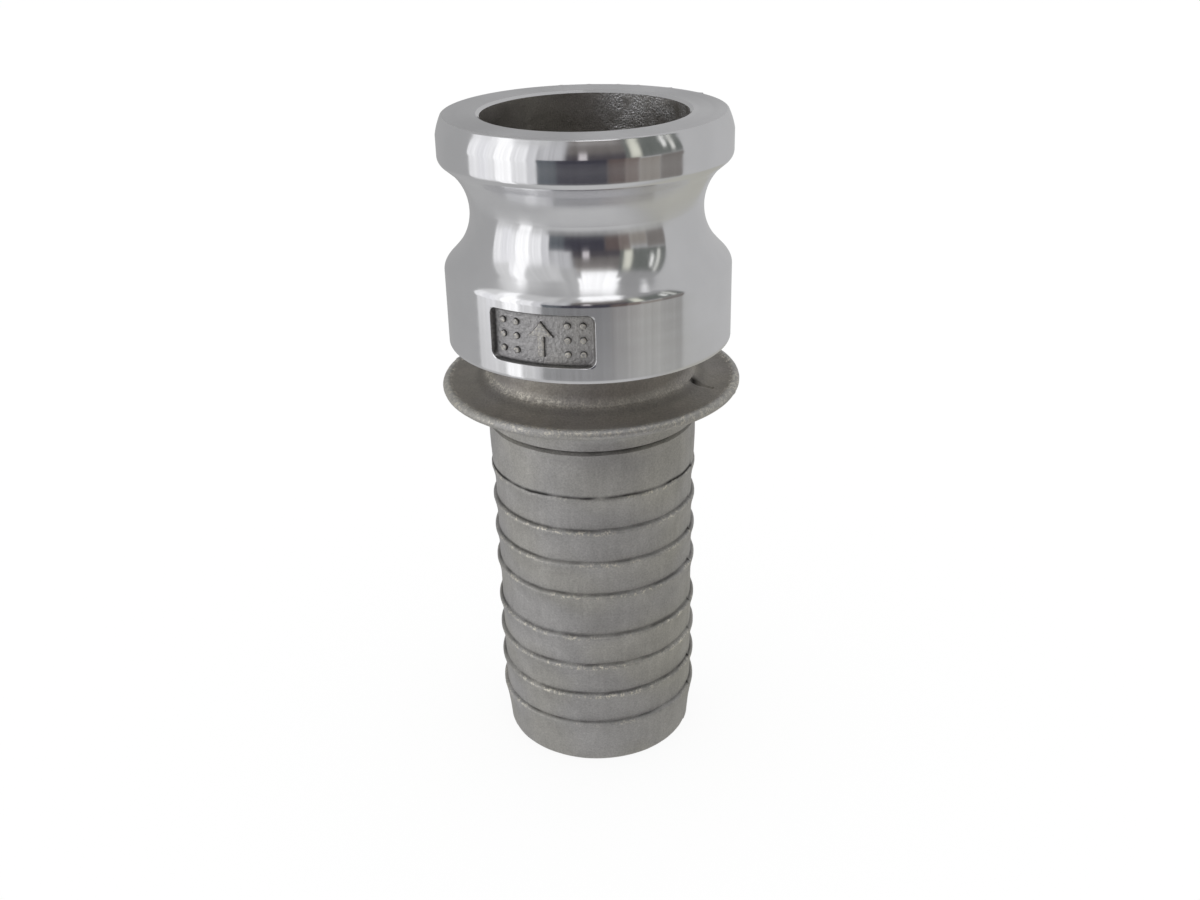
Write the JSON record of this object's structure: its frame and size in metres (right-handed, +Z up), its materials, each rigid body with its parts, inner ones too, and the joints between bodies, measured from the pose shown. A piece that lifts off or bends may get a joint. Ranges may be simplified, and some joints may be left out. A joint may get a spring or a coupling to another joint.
{
  "type": "camlock adapter with hose shank",
  "caption": "Male cam-and-groove hose adapter: turned grooved head, short neck with a dished crimp collar, and a straight barbed hose shank.",
  "frame": {"origin": "centre of the shank's open end, on which the fitting stands", "axes": "+Z up the flow path to the sealing face; the flow mark faces -Y; the die halves part on the XZ plane"},
  "size_m": [0.0572, 0.0572, 0.1286],
  "materials": {
    "turned_aluminium": "fine turned, bright",
    "cast_aluminium": "as cast, shot blasted, matte"
  },
  "bodies": {
    "root": {"cam_lip": "turned_aluminium", "cam_groove": "turned_aluminium", "body_band": "turned_aluminium", "flow_mark": "cast_aluminium", "ferrule_neck": "cast_aluminium", "crimp_collar": "cast_aluminium", "hose_shank": "cast_aluminium", "shank_nose": "cast_aluminium"}
  },
  "joints": []
}
